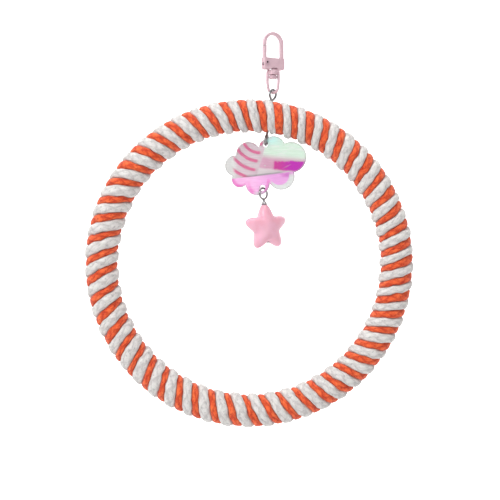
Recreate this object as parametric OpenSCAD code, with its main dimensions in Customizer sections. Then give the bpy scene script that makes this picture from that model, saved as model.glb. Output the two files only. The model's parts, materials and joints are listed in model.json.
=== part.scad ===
// Ring swing for a small cage bird: a hoop wound with two cotton ropes hangs from a
// spring gate clasp, with a clear cloud charm and a star bead on a chain inside it.
// Z points up, X to the right, and the front faces minus Y. The origin is the centre of
// the hook's arch, where the axis of a close fitting cage bar lies. Lengths are millimetres.

/* [Hoop] */
// Radius of the hoop's centre line
hoop_r = 84; // [76:1:110]
// Outer diameter of the tube under the ropes
tube_d = 9; // [7:0.5:11]
// Wall of the tube
tube_wall = 1.2; // [0.8:0.1:2]
// Gap between the two ends of the tube
tube_seam = 0.4; // [0.2:0.1:1]
// Length of the plug that joins the ends of the tube
plug_l = 40; // [24:1:60]
// Tilt of the stored hoop about its hang point, as it hangs with more weight on its left
hoop_tilt = 8; // [0:0.5:12]

/* [Ropes] */
// Thickness of the white rope on the tube
rope_t = 5.2; // [4:0.1:6]
// How far the orange rope lies below the white one
orange_drop = 0.5; // [0.4:0.1:1]
// How far inside the hoop's centre line the white rope's part ends and the orange one's begins
rope_split = 2; // [0:0.1:3]
// Diameter of the hanger's way through the ropes
rope_pass_d = 2.6; // [2.4:0.1:3.2]
// Gap between the tube and the ropes, and between the two
rope_seat = 0.1; // [0.05:0.05:0.3]

/* [Hanger] */
// Diameter of the hanger wire
hanger_d = 1.1; // [0.8:0.1:1.3]
// Inner radius of the upper eye
eye_top_r = 1.95; // [1.8:0.05:2.3]
// Inner radius of the lower eye
eye_low_r = 1.85; // [1.8:0.05:2.1]
// How far the upper eye's centre stands off the ropes
eye_top_rise = 3.4; // [3.2:0.1:4.5]
// How far the lower eye's centre hangs below the ropes
eye_low_drop = 3.7; // [3.5:0.1:5]
// Turn of the upper eye about the wire, from end on
eye_top_yaw = 28; // [10:1:28]
// Turn of the lower eye about the wire, from end on
eye_low_yaw = 16; // [5:1:20]

/* [Clasp] */
// Width over the two legs
clasp_w = 13; // [12:0.5:16]
// Width of the hook's bar
bar_w = 1.7; // [1.2:0.1:1.8]
// Depth of the hook's bar, front to back
bar_d = 2.2; // [1.8:0.1:2.4]
// Height of the opening inside the hook
opening_h = 13.3; // [12:0.1:18]
// Length of the fixed nose below the arch
nose_l = 1.3; // [1:0.1:2]
// Height of the block
block_h = 6.5; // [6.2:0.1:8]
// Depth of the block, front to back
block_d = 4; // [3.8:0.1:5]
// Radius of the block's lower corners
block_corner = 1.2; // [0.6:0.1:1.4]
// Turn of the clasp about the swivel, seen from above
clasp_yaw = 30; // [0:1:40]

/* [Gate] */
// Outer diameter of the hollow rivet that the gate turns on
rivet_d = 1.6; // [1.4:0.1:1.8]
// Bore of the hollow rivet
rivet_bore = 1; // [0.8:0.1:1.1]
// Diameter of the rivet's rolled rim
rivet_rim_d = 2.6; // [2.4:0.1:2.8]
// Height of the rivet's rolled rim
rivet_rim_t = 0.25; // [0.2:0.05:0.4]
// Height of the rivet above the block's underside
rivet_up = 3.8; // [3.6:0.1:4]
// Distance from the rivet to the clasp's outer side
rivet_in = 1.6; // [1.5:0.1:1.8]
// Radius of the gate's ear round the rivet
ear_r = 1.5; // [1.3:0.1:1.5]
// Thickness of the gate's ear
ear_t = 1; // [0.8:0.1:1]
// Wire of the gate's spring
spring_wire = 0.2; // [0.15:0.05:0.2]

/* [Swivel] */
// Diameter of the swivel's collar
collar_d = 5.5; // [5:0.1:6]
// Height of the swivel's collar
collar_h = 2.65; // [2.2:0.05:3.2]
// Diameter of the swivel rivet's shank
shank_d = 2; // [1.8:0.1:2.2]
// Diameter of the swivel rivet's lower head
head_d = 4.7; // [4.2:0.1:4.8]
// Height of the swivel rivet's lower head
head_h = 1.7; // [1.2:0.1:2]
// Diameter of the loop's wire
loop_d = 1.3; // [1.1:0.1:1.5]
// Width of the loop, over the wire
loop_w = 7.8; // [7.6:0.1:9]
// Inner radius at the foot of the loop
loop_foot_r = 1.9; // [1.85:0.05:2.1]
// Length of the loop from its widest place to the foot, on the wire's centre
loop_taper = 7.4; // [6.5:0.1:9]

/* [Cloud charm] */
// Width of the cloud
cloud_w = 47; // [44:0.5:50]
// Thickness of the cloud
cloud_t = 3; // [2.6:0.1:3.2]
// Radius on the cloud's edge
cloud_edge = 0.9; // [0.4:0.1:1.1]
// Turn of the cloud about its top hole, with the right end forward
cloud_yaw = 12; // [0:1:16]
// Diameter of the hole at the top
hole_top_d = 3.2; // [3.1:0.1:3.4]
// Diameter of the hole at the foot
hole_low_d = 3.4; // [3.3:0.1:3.6]

/* [Star bead] */
// Radius of the star over its points
star_r = 13.6; // [12:0.2:15]
// Radius of the star in its notches
star_notch_r = 8.2; // [7.5:0.1:9]
// Thickness of the star
star_t = 11.6; // [10:0.2:13]
// Diameter of the hole through the star
star_bore = 1.4; // [1.2:0.1:1.8]
// Diameter of the headpin's wire
pin_d = 0.9; // [0.8:0.1:1]
// Outer diameter of the headpin's ring
ring_d = 7.5; // [7:0.1:8]
// Height of the cap on the star's top point
cap_h = 3.2; // [2.6:0.1:4]
// Diameter of the cap's foot
cap_d = 3.8; // [3.2:0.1:4.2]
// Diameter of the cap's top
cap_top_d = 1.9; // [1.7:0.1:2.4]
// Lean of the stored star from plumb
star_lean = 5; // [0:0.5:8]
// Turn of the star about its pin
star_yaw = 30; // [0:1:45]

/* [Hidden] */

// Fits between pieces, and one overrun for every cut
run_gap = 0.06;
fit_gap = 0.03;
side_gap = 0.1;
rest_gap = 0.15;
hang_gap = 0.35;
over = 0.5;

// Roundness of bores, bars and wires
round_n = 48;
wire_n = 24;
wire_sides = 12;
eye_steps = 14;

// Ropes round the tube, as parts of one sleeve
rope_in_r = tube_d / 2 + rope_seat;
rope_out_r = rope_in_r + rope_t;
split_r = hoop_r - rope_split;

// Clasp, in its own frame before it is turned
arch_r = clasp_w / 2 - bar_w;
arch_mid_r = arch_r + bar_w / 2;
leg_x = clasp_w / 2 - bar_w / 2;
bar_round_r = (bar_w + bar_d) / 3;
block_top = arch_r - opening_h;
block_low = block_top - block_h;
nose_z = -nose_l;
nose_cut = 35;
gate_gap = 0.25;
pin_x = -clasp_w / 2 + rivet_in;
pin_z = block_low + rivet_up;
ear_y = -bar_d / 2 + ear_t;
slot_d = bar_d + side_gap;
slot_play = 0.5;
slot_right = pin_x + ear_r + slot_play;
slot_low = pin_z - ear_r - 2 * side_gap;
recess_r = 3.6;
recess_rise = 1.1;

// Gate spring: a coil round the rivet, one leg on the slot's floor, one behind the gate
coil_play = 0.3;
coil_r = rivet_d / 2 + coil_play;
coil_turns = 2.5;
coil_steps = 10;
coil_y1 = bar_d / 2 - spring_wire;
coil_y2 = ear_y + spring_wire;
leg_bend = 0.3;
spring_sides = 6;

// Swivel, hung under the block
collar_top = block_low - 2 * side_gap;
collar_low = collar_top - collar_h;
neck_d = 3.4;
neck_h = 0.5;
head_top = collar_low - side_gap - neck_h;
head_low = head_top - head_h;
head_chamfer = 0.4;
sink_d = 3.4;
sink_h = 0.7;
loop_a = loop_w / 2 - loop_d / 2;
loop_b = loop_taper;
loop_rb = loop_foot_r + loop_d / 2;
loop_rs = (loop_a * loop_a + pow(loop_b - loop_rb, 2) - loop_rb * loop_rb) / (2 * (loop_a - loop_rb));
loop_turn = atan2(loop_b - loop_rb, loop_rs - loop_a);
loop_turn_skip = 8;
shoulder_r = loop_d;
shoulder_span = 60;
shoulder_z = collar_low + collar_h / 3;
loop_wide_z = head_low - loop_d / 3;
loop_foot_z = loop_wide_z - loop_taper;

// Hoop, hung from the loop's foot
eye_top_mid = eye_top_r + hanger_d / 2;
eye_low_mid = eye_low_r + hanger_d / 2;
eye_top_h = eye_top_rise + hanger_d / 2;
eye_low_h = eye_low_drop + hanger_d / 2;
eye_close_share = 0.3;
hang_r = hoop_r + rope_out_r + eye_top_rise;
pivot_r = hang_r + eye_top_r - loop_d / 2 - hang_gap;
low_eye_r = hoop_r - rope_out_r - eye_low_drop;
hoop_x = -pivot_r * sin(hoop_tilt);
hoop_z = loop_foot_z - pivot_r * cos(hoop_tilt);
low_eye_x = hoop_x + low_eye_r * sin(hoop_tilt);
low_eye_z = hoop_z + low_eye_r * cos(hoop_tilt);
plug_play = 0.1;
plug_r = tube_d / 2 - tube_wall - plug_play;
plug_span = plug_l / hoop_r * 180 / PI;
seam_at = plug_span / 5;

// Cloud, as shares of its width from its middle: places and radii of the lobes, and the
// points of the slab that fills between them
lobe_shares = [[-0.375, 0.007, 0.127], [-0.212, 0.143, 0.151], [0.1, 0.21, 0.147], [0.316, 0.096, 0.186],
    [0.197, -0.132, 0.163], [-0.097, -0.208, 0.151], [-0.317, -0.16, 0.101]];
slab_shares = [[-0.212, 0.143], [-0.092, 0.24], [0, 0.315], [0.1, 0.21], [0.316, 0.096], [0.365, -0.1],
    [0.197, -0.132], [0.052, -0.257], [-0.097, -0.208], [-0.317, -0.16], [-0.375, 0.007]];
top_hole_share = [0.004, 0.257];
low_hole_share = [-0.033, -0.27];
top_hole_x = low_eye_x - hanger_d / 4;
top_hole_z = low_eye_z - eye_low_mid + rest_gap;
low_hole_dx = cloud_w * (low_hole_share[0] - top_hole_share[0]);
low_hole_dz = cloud_w * (low_hole_share[1] - top_hole_share[1]);

// Star chain, hung in the cloud's lower hole
ring_mid = ring_d / 2 - pin_d / 2;
ring_yaw = 36;
ring_z = -ring_mid;
cap_gap = 0.05;
star_top_z = ring_z - ring_mid - cap_h;
star_flat_share = 0.96;
star_mid_z = star_top_z - star_r * star_flat_share;
pin_head_d = 2.2;
pin_head_h = 0.5;
star_waist = (star_r - star_notch_r) / 2;
star_sharp = 0.35;
star_steps = 50;
star_bands = 5;

// Unit vector along v
function unit(v) = v / norm(v);

// Faces of a swept tube: triangles between its rings and fans over its two ends
function tube_faces(rings, sides) = concat(
    [for (i = [0 : rings - 2], j = [0 : sides - 1])
        [i * sides + j, i * sides + (j + 1) % sides, (i + 1) * sides + j]],
    [for (i = [0 : rings - 2], j = [0 : sides - 1])
        [i * sides + (j + 1) % sides, (i + 1) * sides + (j + 1) % sides, (i + 1) * sides + j]],
    [for (j = [1 : sides - 2]) [0, j + 1, j]],
    [for (j = [1 : sides - 2]) [(rings - 1) * sides, (rings - 1) * sides + j, (rings - 1) * sides + j + 1]]);

// All the corners of a list of rings, in one list
function flat(rows) = [for (row = rows) for (p = row) p];

// Radius of the star's outline at the angle a from its top point
function star_out(a) =
    star_r - star_waist - star_sharp + star_waist * cos(5 * a) + star_sharp * cos(10 * a);

// Corner of the star at the angle a of its outline and the height angle b
function star_corner(a, b) =
    [star_out(a) * sin(a) * cos(b), star_t / 2 * sin(b), star_out(a) * cos(a) * cos(b)];

// Points on an arc in a plane, from one angle to another
function arc_points(mid, r, from, to, steps) =
    [for (i = [0 : steps]) let (a = from + (to - from) * i / steps) mid + r * [cos(a), sin(a)]];

// Route of the gate spring's wire round the rivet, in the clasp's own frame
function spring_route() = concat(
    [[slot_right - spring_wire - side_gap, coil_y1, pin_z - coil_r]],
    [for (i = [0 : coil_turns * coil_steps])
        let (a = -90 - i * 360 / coil_steps, s = i / (coil_turns * coil_steps))
        [pin_x + coil_r * cos(a), coil_y1 + (coil_y2 - coil_y1) * s, pin_z + coil_r * sin(a)]],
    [[pin_x + leg_bend, coil_y2, pin_z + coil_r + leg_bend / 3],
     [pin_x + leg_bend, coil_y2, pin_z + coil_r + 2 * leg_bend],
     [-leg_x + bar_w / 2 + spring_wire, coil_y2, block_top - side_gap]]);

// Right half of the loop's outline, from the collar down to the foot
function loop_half() = concat(
    arc_points([loop_a - shoulder_r, shoulder_z], shoulder_r, shoulder_span, 0, 4),
    arc_points([loop_a - loop_rs, loop_wide_z], loop_rs, 0, -loop_turn, 4),
    arc_points([0, loop_foot_z + loop_rb], loop_rb, -loop_turn - loop_turn_skip, -90, 5));

// Route of the loop's wire from one side of the collar to the other
function loop_route() =
    let (half = loop_half(), last = len(half) - 1)
    concat(
        [for (p = half) [p[0], 0, p[1]]],
        [for (i = [1 : last]) [-half[last - i][0], 0, half[last - i][1]]]);

// Drop shaped eye from the point where its wire leaves the shank, round the arc and back,
// in its own plane with the shank below
function eye_points(mid, height) =
    let (
        beta = asin(mid / height),
        arc = arc_points([0, 0], mid, 180 + beta, -beta, eye_steps))
    concat([[0, -height]], arc, [arc[eye_steps] + eye_close_share * ([0, -height] - arc[eye_steps])]);

// Route of the hanger's wire: lower eye from its cut end, shank, upper eye to its cut end
function hanger_route() =
    let (
        low = eye_points(eye_low_mid, eye_low_h),
        top = eye_points(eye_top_mid, eye_top_h),
        last = len(low) - 1)
    concat(
        [for (i = [0 : last])
            let (p = low[last - i]) [p[0] * sin(eye_low_yaw), p[0] * cos(eye_low_yaw), low_eye_r - p[1]]],
        [for (p = top) [p[0] * sin(eye_top_yaw), p[0] * cos(eye_top_yaw), hang_r + p[1]]]);

// Normal of the plane that each point of the hanger's wire bends in
function hanger_sides() = concat(
    [for (i = [0 : eye_steps + 2]) [cos(eye_low_yaw), -sin(eye_low_yaw), 0]],
    [for (i = [0 : eye_steps + 2]) [cos(eye_top_yaw), -sin(eye_top_yaw), 0]]);

// Corners of a round wire's section at each point of a route, given a normal to each bend
function wire_rows(route, normals, r, sides) =
    [for (i = [0 : len(route) - 1])
        let (
            t = unit(route[min(i + 1, len(route) - 1)] - route[max(i - 1, 0)]),
            u = unit(cross(t, normals[i])),
            v = cross(u, t))
        [for (j = [0 : sides - 1]) route[i] + r * cos(360 * j / sides) * u + r * sin(360 * j / sides) * v]];

// Section of the hook's bar: flat inside, corners rounded by one circle
module bar_section() {
    intersection() {
        square([bar_w, bar_d], center = true);
        circle(r = bar_round_r, $fn = round_n);
    }
}

// Straight bar of the hook from one height to another
module leg(x, low, high) {
    translate([x, 0, low]) linear_extrude(high - low) bar_section();
}

// Round wire swept along a route
module wire_sweep(route, normals, wire, sides = wire_sides) {
    rows = wire_rows(route, normals, wire / 2, sides);
    polyhedron(points = flat(rows), faces = tube_faces(len(rows), sides));
}

// Straight round rod along Z
module rod(d, low, high) {
    translate([0, 0, low]) cylinder(d = d, h = high - low, $fn = round_n);
}

// Straight round rod along Y
module cross_rod(d, front, back) {
    translate([0, back, 0]) rotate([90, 0, 0]) cylinder(d = d, h = back - front, $fn = round_n);
}

// Places of the bodies
module clasp_frame() {
    rotate([0, 0, clasp_yaw]) children();
}

module hoop_frame() {
    translate([hoop_x, 0, hoop_z]) rotate([0, hoop_tilt, 0]) children();
}

module cloud_frame() {
    translate([top_hole_x, 0, top_hole_z]) rotate([0, 0, -cloud_yaw]) children();
}

module star_frame() {
    cloud_frame() translate([low_hole_dx, 0, low_hole_dz])
        rotate([0, 0, cloud_yaw]) rotate([0, -star_lean, 0]) children();
}

// Front outline of the block with its two round lower corners
module block_outline() {
    half = clasp_w / 2;
    translate([-half, block_low + block_corner]) square([clasp_w, block_h - block_corner]);
    translate([-half + block_corner, block_low]) square([clasp_w - 2 * block_corner, block_h]);
    for (side = [-1, 1])
        translate([side * (half - block_corner), block_low + block_corner])
            circle(r = block_corner, $fn = round_n);
}

// Space in the block for the gate's ear and its spring, open at the left and the top
module gate_slot() {
    translate([-clasp_w / 2 - over, -slot_d / 2, slot_low])
        cube([slot_right + clasp_w / 2 + over, slot_d, block_top - slot_low + over]);
}

// Hook, block and fixed nose in one casting
module clasp_body() {
    color("#dcbcc6") clasp_frame() difference() {
        union() {
            rotate([90, 0, 0]) rotate_extrude(angle = 180, $fn = 2 * round_n)
                translate([arch_mid_r, 0]) bar_section();
            leg(leg_x, block_top - over, 0);
            leg(-leg_x, nose_z - bar_w, 0);
            translate([0, block_d / 2, 0]) rotate([90, 0, 0]) linear_extrude(block_d) block_outline();
        }
        translate([-leg_x, 0, nose_z]) rotate([0, -nose_cut, 0])
            translate([-2 * bar_w, -bar_d, -2 * bar_w]) cube([4 * bar_w, 2 * bar_d, 2 * bar_w]);
        gate_slot();
        translate([pin_x, 0, pin_z]) cross_rod(rivet_d + 2 * fit_gap, -block_d, block_d);
        rod(shank_d + 2 * fit_gap, block_low - over, block_top + over);
        rod(sink_d + 2 * fit_gap, block_top - sink_h - fit_gap, block_top + over);
        translate([0, 0, block_low - recess_r + recess_rise]) cross_rod(2 * recess_r, -block_d, block_d);
    }
}

// Gate: a bar that closes the hook, with an ear round the rivet
module clasp_gate() {
    color("#d6b3be") clasp_frame() difference() {
        union() {
            leg(-leg_x, pin_z, nose_z + bar_w);
            translate([pin_x, 0, pin_z]) cross_rod(2 * ear_r, -bar_d / 2, ear_y);
        }
        translate([-leg_x, 0, nose_z - gate_gap]) rotate([0, -nose_cut, 0])
            translate([-2 * bar_w, -bar_d, 0]) cube([4 * bar_w, 2 * bar_d, 2 * bar_w]);
        translate([pin_x, 0, pin_z]) cross_rod(rivet_d + 2 * run_gap, -block_d, block_d);
        translate([pin_x, 0, pin_z]) cross_rod(2 * (coil_r + spring_wire), ear_y, block_d);
    }
}

module gate_spring() {
    route = spring_route();
    color("silver") clasp_frame() wire_sweep(route, [for (p = route) [0, 1, 0]], spring_wire, spring_sides);
}

// Hollow rivet with a rolled rim on each face of the block
module gate_rivet() {
    color("#cfa9b5") clasp_frame() translate([pin_x, 0, pin_z]) difference() {
        union() {
            cross_rod(rivet_d, -block_d / 2 - rivet_rim_t, block_d / 2 + rivet_rim_t);
            cross_rod(rivet_rim_d, -block_d / 2 - rivet_rim_t, -block_d / 2);
            cross_rod(rivet_rim_d, block_d / 2, block_d / 2 + rivet_rim_t);
        }
        cross_rod(rivet_bore, -block_d, block_d);
    }
}

// Rivet that carries the swivel: flush head in the block, neck and round head under the collar
module swivel_rivet() {
    color("#d6b3be") clasp_frame() {
        rod(shank_d, head_top, block_top);
        rod(sink_d, block_top - sink_h, block_top);
        rod(neck_d, head_top, head_top + neck_h);
        rod(head_d, head_low + head_chamfer, head_top);
        translate([0, 0, head_low])
            cylinder(d1 = head_d - 2 * head_chamfer, d2 = head_d, h = head_chamfer, $fn = round_n);
    }
}

// Collar that turns on the rivet, with the long loop below it
module swivel_loop() {
    color("#dcbcc6") difference() {
        union() {
            rod(collar_d, collar_low, collar_top);
            wire_sweep(loop_route(), [for (p = loop_route()) [0, 1, 0]], loop_d);
        }
        rod(shank_d + 2 * run_gap, collar_low - over, collar_top + over);
    }
}

// Wire through the hoop with an eye bent at each end
module hanger_wire() {
    color("#8d8f92") hoop_frame() wire_sweep(hanger_route(), hanger_sides(), hanger_d);
}

// Hole for the hanger wire through the hoop
module hanger_bore() {
    rod(hanger_d + 2 * run_gap, hoop_r - tube_d, hoop_r + tube_d);
}

// Tube bent to a ring, open at its seam
module hoop_tube() {
    seam = tube_seam / hoop_r * 180 / PI;
    color("#c9c2b6") hoop_frame() difference() {
        rotate([90, 90 + seam_at + seam / 2, 0]) rotate_extrude(angle = 360 - seam, $fn = 2 * round_n)
            translate([hoop_r, 0]) difference() {
                circle(d = tube_d, $fn = round_n);
                circle(d = tube_d - 2 * tube_wall, $fn = round_n);
            }
        hanger_bore();
    }
}

// Plug inside the tube that joins its two ends, locked by the hanger wire
module hoop_plug() {
    color("#b89c6e") hoop_frame() difference() {
        rotate([90, 0, 0]) rotate([0, 0, 90 - plug_span / 2])
            rotate_extrude(angle = plug_span, $fn = 2 * round_n)
                translate([hoop_r, 0]) circle(r = plug_r, $fn = round_n);
        hanger_bore();
    }
}

// Part of the sleeve round the tube that lies between two distances from the hoop's centre
module rope_sleeve(near, far, out_r) {
    hoop_frame() difference() {
        rotate([90, 0, 0]) rotate_extrude($fn = 2 * round_n) intersection() {
            translate([hoop_r, 0]) difference() {
                circle(r = out_r, $fn = round_n);
                circle(r = rope_in_r, $fn = round_n);
            }
            translate([near, -out_r - over]) square([far - near, 2 * (out_r + over)]);
        }
        rod(rope_pass_d, hoop_r - rope_out_r - over, hoop_r + rope_out_r + over);
    }
}

// The two ropes as plain solids: the white one is the outer part of the sleeve round the tube
// and the orange one the inner part, where the real ones are wound side by side
module rope_white() {
    color("#e4e1dc") rope_sleeve(split_r + rope_seat / 2, hoop_r + rope_out_r + over, rope_out_r);
}

module rope_orange() {
    color("#f2602a")
        rope_sleeve(hoop_r - rope_out_r - over, split_r - rope_seat / 2, rope_out_r - orange_drop);
}

// Disc with a rounded edge, flat faces towards Y
module soft_disc(r) {
    flat_t = cloud_t - 2 * cloud_edge;
    rotate([90, 0, 0]) rotate_extrude($fn = round_n) {
        translate([0, -cloud_t / 2]) square([r - cloud_edge, cloud_t]);
        translate([0, -flat_t / 2]) square([r, flat_t]);
        for (side = [-1, 1])
            translate([r - cloud_edge, side * flat_t / 2]) circle(r = cloud_edge, $fn = wire_n);
    }
}

// Clear plate in the outline of a cloud, hung by the hole at its top
module cloud_charm() {
    color("#cfe8d8", 0.8) cloud_frame() difference() {
        translate([-cloud_w * top_hole_share[0], 0, -cloud_w * top_hole_share[1]]) {
            for (lobe = lobe_shares)
                translate([cloud_w * lobe[0], 0, cloud_w * lobe[1]]) soft_disc(cloud_w * lobe[2]);
            translate([0, cloud_t / 2, 0]) rotate([90, 0, 0])
                linear_extrude(cloud_t) polygon(cloud_w * slab_shares);
        }
        cross_rod(hole_top_d, -cloud_t, cloud_t);
        translate([low_hole_dx, 0, low_hole_dz]) cross_rod(hole_low_d, -cloud_t, cloud_t);
    }
}

// Puffed star: each band of corners is the outline drawn in towards the middle of a face
module star_shape() {
    rows = [for (k = [-star_bands + 1 : star_bands - 1])
        [for (i = [0 : star_steps - 1]) star_corner(i * 360 / star_steps, k * 90 / star_bands)]];
    count = len(rows);
    ends = [[0, -star_t / 2, 0], [0, star_t / 2, 0]];
    side_faces = [for (k = [0 : count - 2], i = [0 : star_steps - 1], half = [0, 1])
        let (a = k * star_steps + i, b = k * star_steps + (i + 1) % star_steps)
        half == 0 ? [a, a + star_steps, b] : [b, a + star_steps, b + star_steps]];
    end_faces = [for (i = [0 : star_steps - 1], half = [0, 1])
        let (pole = count * star_steps + half, ring = half * (count - 1) * star_steps,
            next = (i + 1) % star_steps)
        half == 0 ? [pole, ring + i, ring + next] : [pole, ring + next, ring + i]];
    polyhedron(points = concat(flat(rows), ends), faces = concat(side_faces, end_faces));
}

// Star bead, drilled from its top point to the notch below, flat where the cap sits
module star_bead() {
    color("#f0a3b8") star_frame() rotate([0, 0, star_yaw]) translate([0, 0, star_mid_z]) difference() {
        star_shape();
        rod(star_bore, -star_r, star_r);
        translate([-star_r, -star_r, star_r * star_flat_share]) cube([2 * star_r, 2 * star_r, star_r]);
        rod(pin_head_d + 4 * side_gap, -star_r, -star_notch_r);
    }
}

// Cone shaped cap between the ring and the star's top point
module star_cap() {
    color("#a9abae") star_frame() translate([0, 0, star_top_z + cap_gap]) difference() {
        cylinder(d1 = cap_d, d2 = cap_top_d, h = cap_h - pin_d - cap_gap, $fn = round_n);
        translate([0, 0, -over]) cylinder(d = pin_d + 2 * run_gap, h = cap_h + over, $fn = round_n);
    }
}

// Headpin: a ring through the cloud's lower hole, a stem through the star and a head below
module star_pin() {
    head_z = star_mid_z - star_notch_r - side_gap;
    color("#9a9c9f") star_frame() {
        translate([0, 0, ring_z]) rotate([90, 0, 90 - ring_yaw]) rotate_extrude($fn = round_n)
            translate([ring_mid, 0]) circle(d = pin_d, $fn = wire_n);
        rod(pin_d, head_z - pin_head_h, ring_z - ring_mid);
        rod(pin_head_d, head_z - pin_head_h, head_z);
    }
}

clasp_body();
clasp_gate();
gate_spring();
gate_rivet();
swivel_rivet();
swivel_loop();
hanger_wire();
hoop_tube();
hoop_plug();
rope_white();
rope_orange();
cloud_charm();
star_bead();
star_cap();
star_pin();
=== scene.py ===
"""Looks of a rope-wound ring swing, dressed around its fixed construction.

Every length is in metres, in the frame of the construction: +Z up, +X to the right and the
front towards -Y. Angles round the ring run clockwise from its top, as the front shows it.
"""

import json
import logging
import math
from collections.abc import Callable, Sequence
from dataclasses import dataclass, field
from enum import Enum

import bmesh
import bpy
import numpy as np
from mathutils import Matrix, Vector


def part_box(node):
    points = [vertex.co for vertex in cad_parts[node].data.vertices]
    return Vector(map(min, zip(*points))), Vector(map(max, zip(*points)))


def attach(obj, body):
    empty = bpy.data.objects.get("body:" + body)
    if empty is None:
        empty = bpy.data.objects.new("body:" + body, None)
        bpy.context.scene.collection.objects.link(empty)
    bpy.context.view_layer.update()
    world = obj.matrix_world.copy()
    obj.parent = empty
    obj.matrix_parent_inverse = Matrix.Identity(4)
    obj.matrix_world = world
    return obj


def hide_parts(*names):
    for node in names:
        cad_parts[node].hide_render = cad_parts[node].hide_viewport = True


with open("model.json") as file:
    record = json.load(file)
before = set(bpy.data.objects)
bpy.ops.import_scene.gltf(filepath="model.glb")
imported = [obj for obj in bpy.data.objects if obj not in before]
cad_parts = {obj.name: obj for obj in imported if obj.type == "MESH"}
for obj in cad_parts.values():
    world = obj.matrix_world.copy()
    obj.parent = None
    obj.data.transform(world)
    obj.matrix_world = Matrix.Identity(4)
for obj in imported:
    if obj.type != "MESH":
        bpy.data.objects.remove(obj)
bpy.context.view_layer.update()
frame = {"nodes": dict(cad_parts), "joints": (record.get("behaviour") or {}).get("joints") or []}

MM = 0.001
ROPE_MAP = "Rope"
PLATE_MAP = "Plate"
RIM_MAP = "Rim"
LOG = logging.getLogger("ring_swing")

# Direction that no wire of the swing follows, from which the sections of a wire are laid out
ODD_WAY = (0.31, 0.94, 0.12)

# Corners that are one, and the angle from which an edge of a casting is rounded
SAME_POINT = 0.005 * MM
SHARP_EDGE = math.radians(35)

Number = int | float
Colour = Place = tuple[float, float, float]
Pairs = tuple[tuple[float, float], ...]
Material = bpy.types.Material
Mesh = bpy.types.Mesh


class Body(Enum):
    """Moving bodies of the swing, from the cage bar down."""

    CLASP = "clasp"
    GATE = "gate"
    SWIVEL = "swivel"
    HOOP = "hoop"
    CLOUD = "cloud"
    STAR = "star"


class Strand(Enum):
    """The two ropes of the winding."""

    WHITE = "rope_white"
    ORANGE = "rope_orange"


def joint(name: str) -> dict[str, object]:
    """The construction's joint of that name."""
    return next(j for j in frame["joints"] if j["name"] == name)


def put(name: str, data: bpy.types.ID) -> bpy.types.Object:
    """Sets a new object of some data in the scene.

    Args:
        name: The object's name.
        data: Its mesh, light or camera.

    Returns:
        The object.
    """
    made = bpy.data.objects.new(name, data)
    bpy.context.scene.collection.objects.link(made)
    return made


def arithmetic(operation: str, first: bool = True) -> Callable[..., "Socket"]:
    """Makes a method of Socket that adds one Math node.

    Args:
        operation: The Math node's operation.
        first: Whether the socket's own value is the first.

    Returns:
        The method.
    """

    def method(self: "Socket", *others: "Socket | Number") -> "Socket":
        """Adds the node."""
        values = (self, *others) if first else (*others, self)
        return self.graph.node("ShaderNodeMath", dict(enumerate(values)), operation=operation)

    return method


@dataclass(frozen=True)
class Socket:
    """An output of a node in a graph, whose arithmetic in Python adds Math nodes."""

    graph: "Graph"
    link: bpy.types.NodeSocket

    __add__ = __radd__ = arithmetic("ADD")
    __sub__ = arithmetic("SUBTRACT")
    __rsub__ = arithmetic("SUBTRACT", first=False)
    __mul__ = __rmul__ = arithmetic("MULTIPLY")
    __pow__ = arithmetic("POWER")
    __mod__ = arithmetic("FLOORED_MODULO")
    __abs__ = arithmetic("ABSOLUTE")
    at_most = arithmetic("MINIMUM")
    floor = arithmetic("FLOOR")
    sine = arithmetic("SINE")

    def ramp(self, low: Number, high: Number) -> "Socket":
        """Smooth step from nought to one.

        Args:
            low: Value at which the step starts, which may be the larger one.
            high: Value at which it ends.

        Returns:
            The step.
        """
        values = {"Value": self, "From Min": low, "From Max": high, "To Min": 0.0, "To Max": 1.0}
        kind = "ShaderNodeMapRange"
        return self.graph.node(kind, values, "Result", interpolation_type="SMOOTHSTEP")

    def bell(self, middle: Number, spread: Number) -> "Socket":
        """Soft hump: one at middle, nought from spread away on."""
        return abs(self - middle).ramp(spread, 0.0)


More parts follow.
